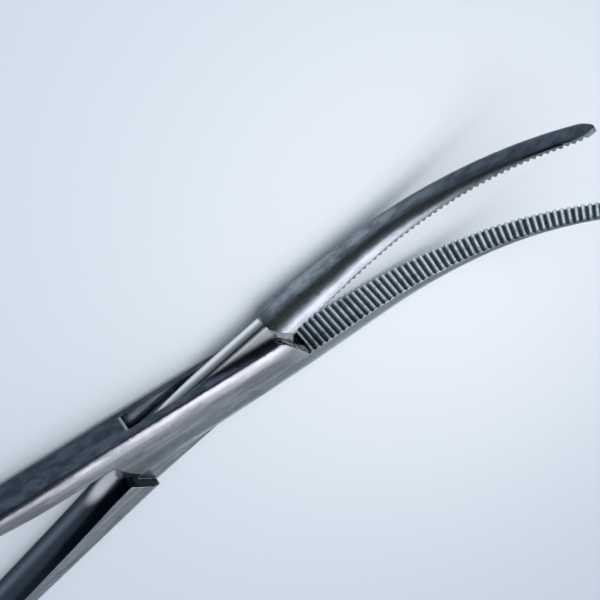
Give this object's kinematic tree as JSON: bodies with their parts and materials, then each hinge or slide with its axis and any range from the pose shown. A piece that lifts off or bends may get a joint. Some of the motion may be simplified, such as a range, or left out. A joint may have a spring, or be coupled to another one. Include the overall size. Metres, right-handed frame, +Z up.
{
  "type": "hemostat forceps",
  "caption": "Curved clamping forceps with a box lock, cross-serrated jaws, finger rings and a ratchet, lying half open.",
  "frame": {"origin": "on the pivot axis, at the surface that the box lock's cheek lies on", "axes": "+X along the box half towards the jaw tips, +Z up along the pivot axis, +Y towards the opening through-half jaw"},
  "size_m": [0.1842, 0.1037, 0.0145],
  "materials": {
    "satin_steel": "satin"
  },
  "bodies": {
    "box_side": {"box_half": "satin_steel", "pivot_pin": "satin_steel"},
    "through_side": {"through_half": "satin_steel"}
  },
  "joints": [
    {"name": "box_lock_pivot", "type": "hinge", "parent": "box_side", "child": "through_side", "pos_m": [0, 0, 0.0031], "axis": [0, 0, 1], "range_deg": [-14.7, 35.3]}
  ]
}
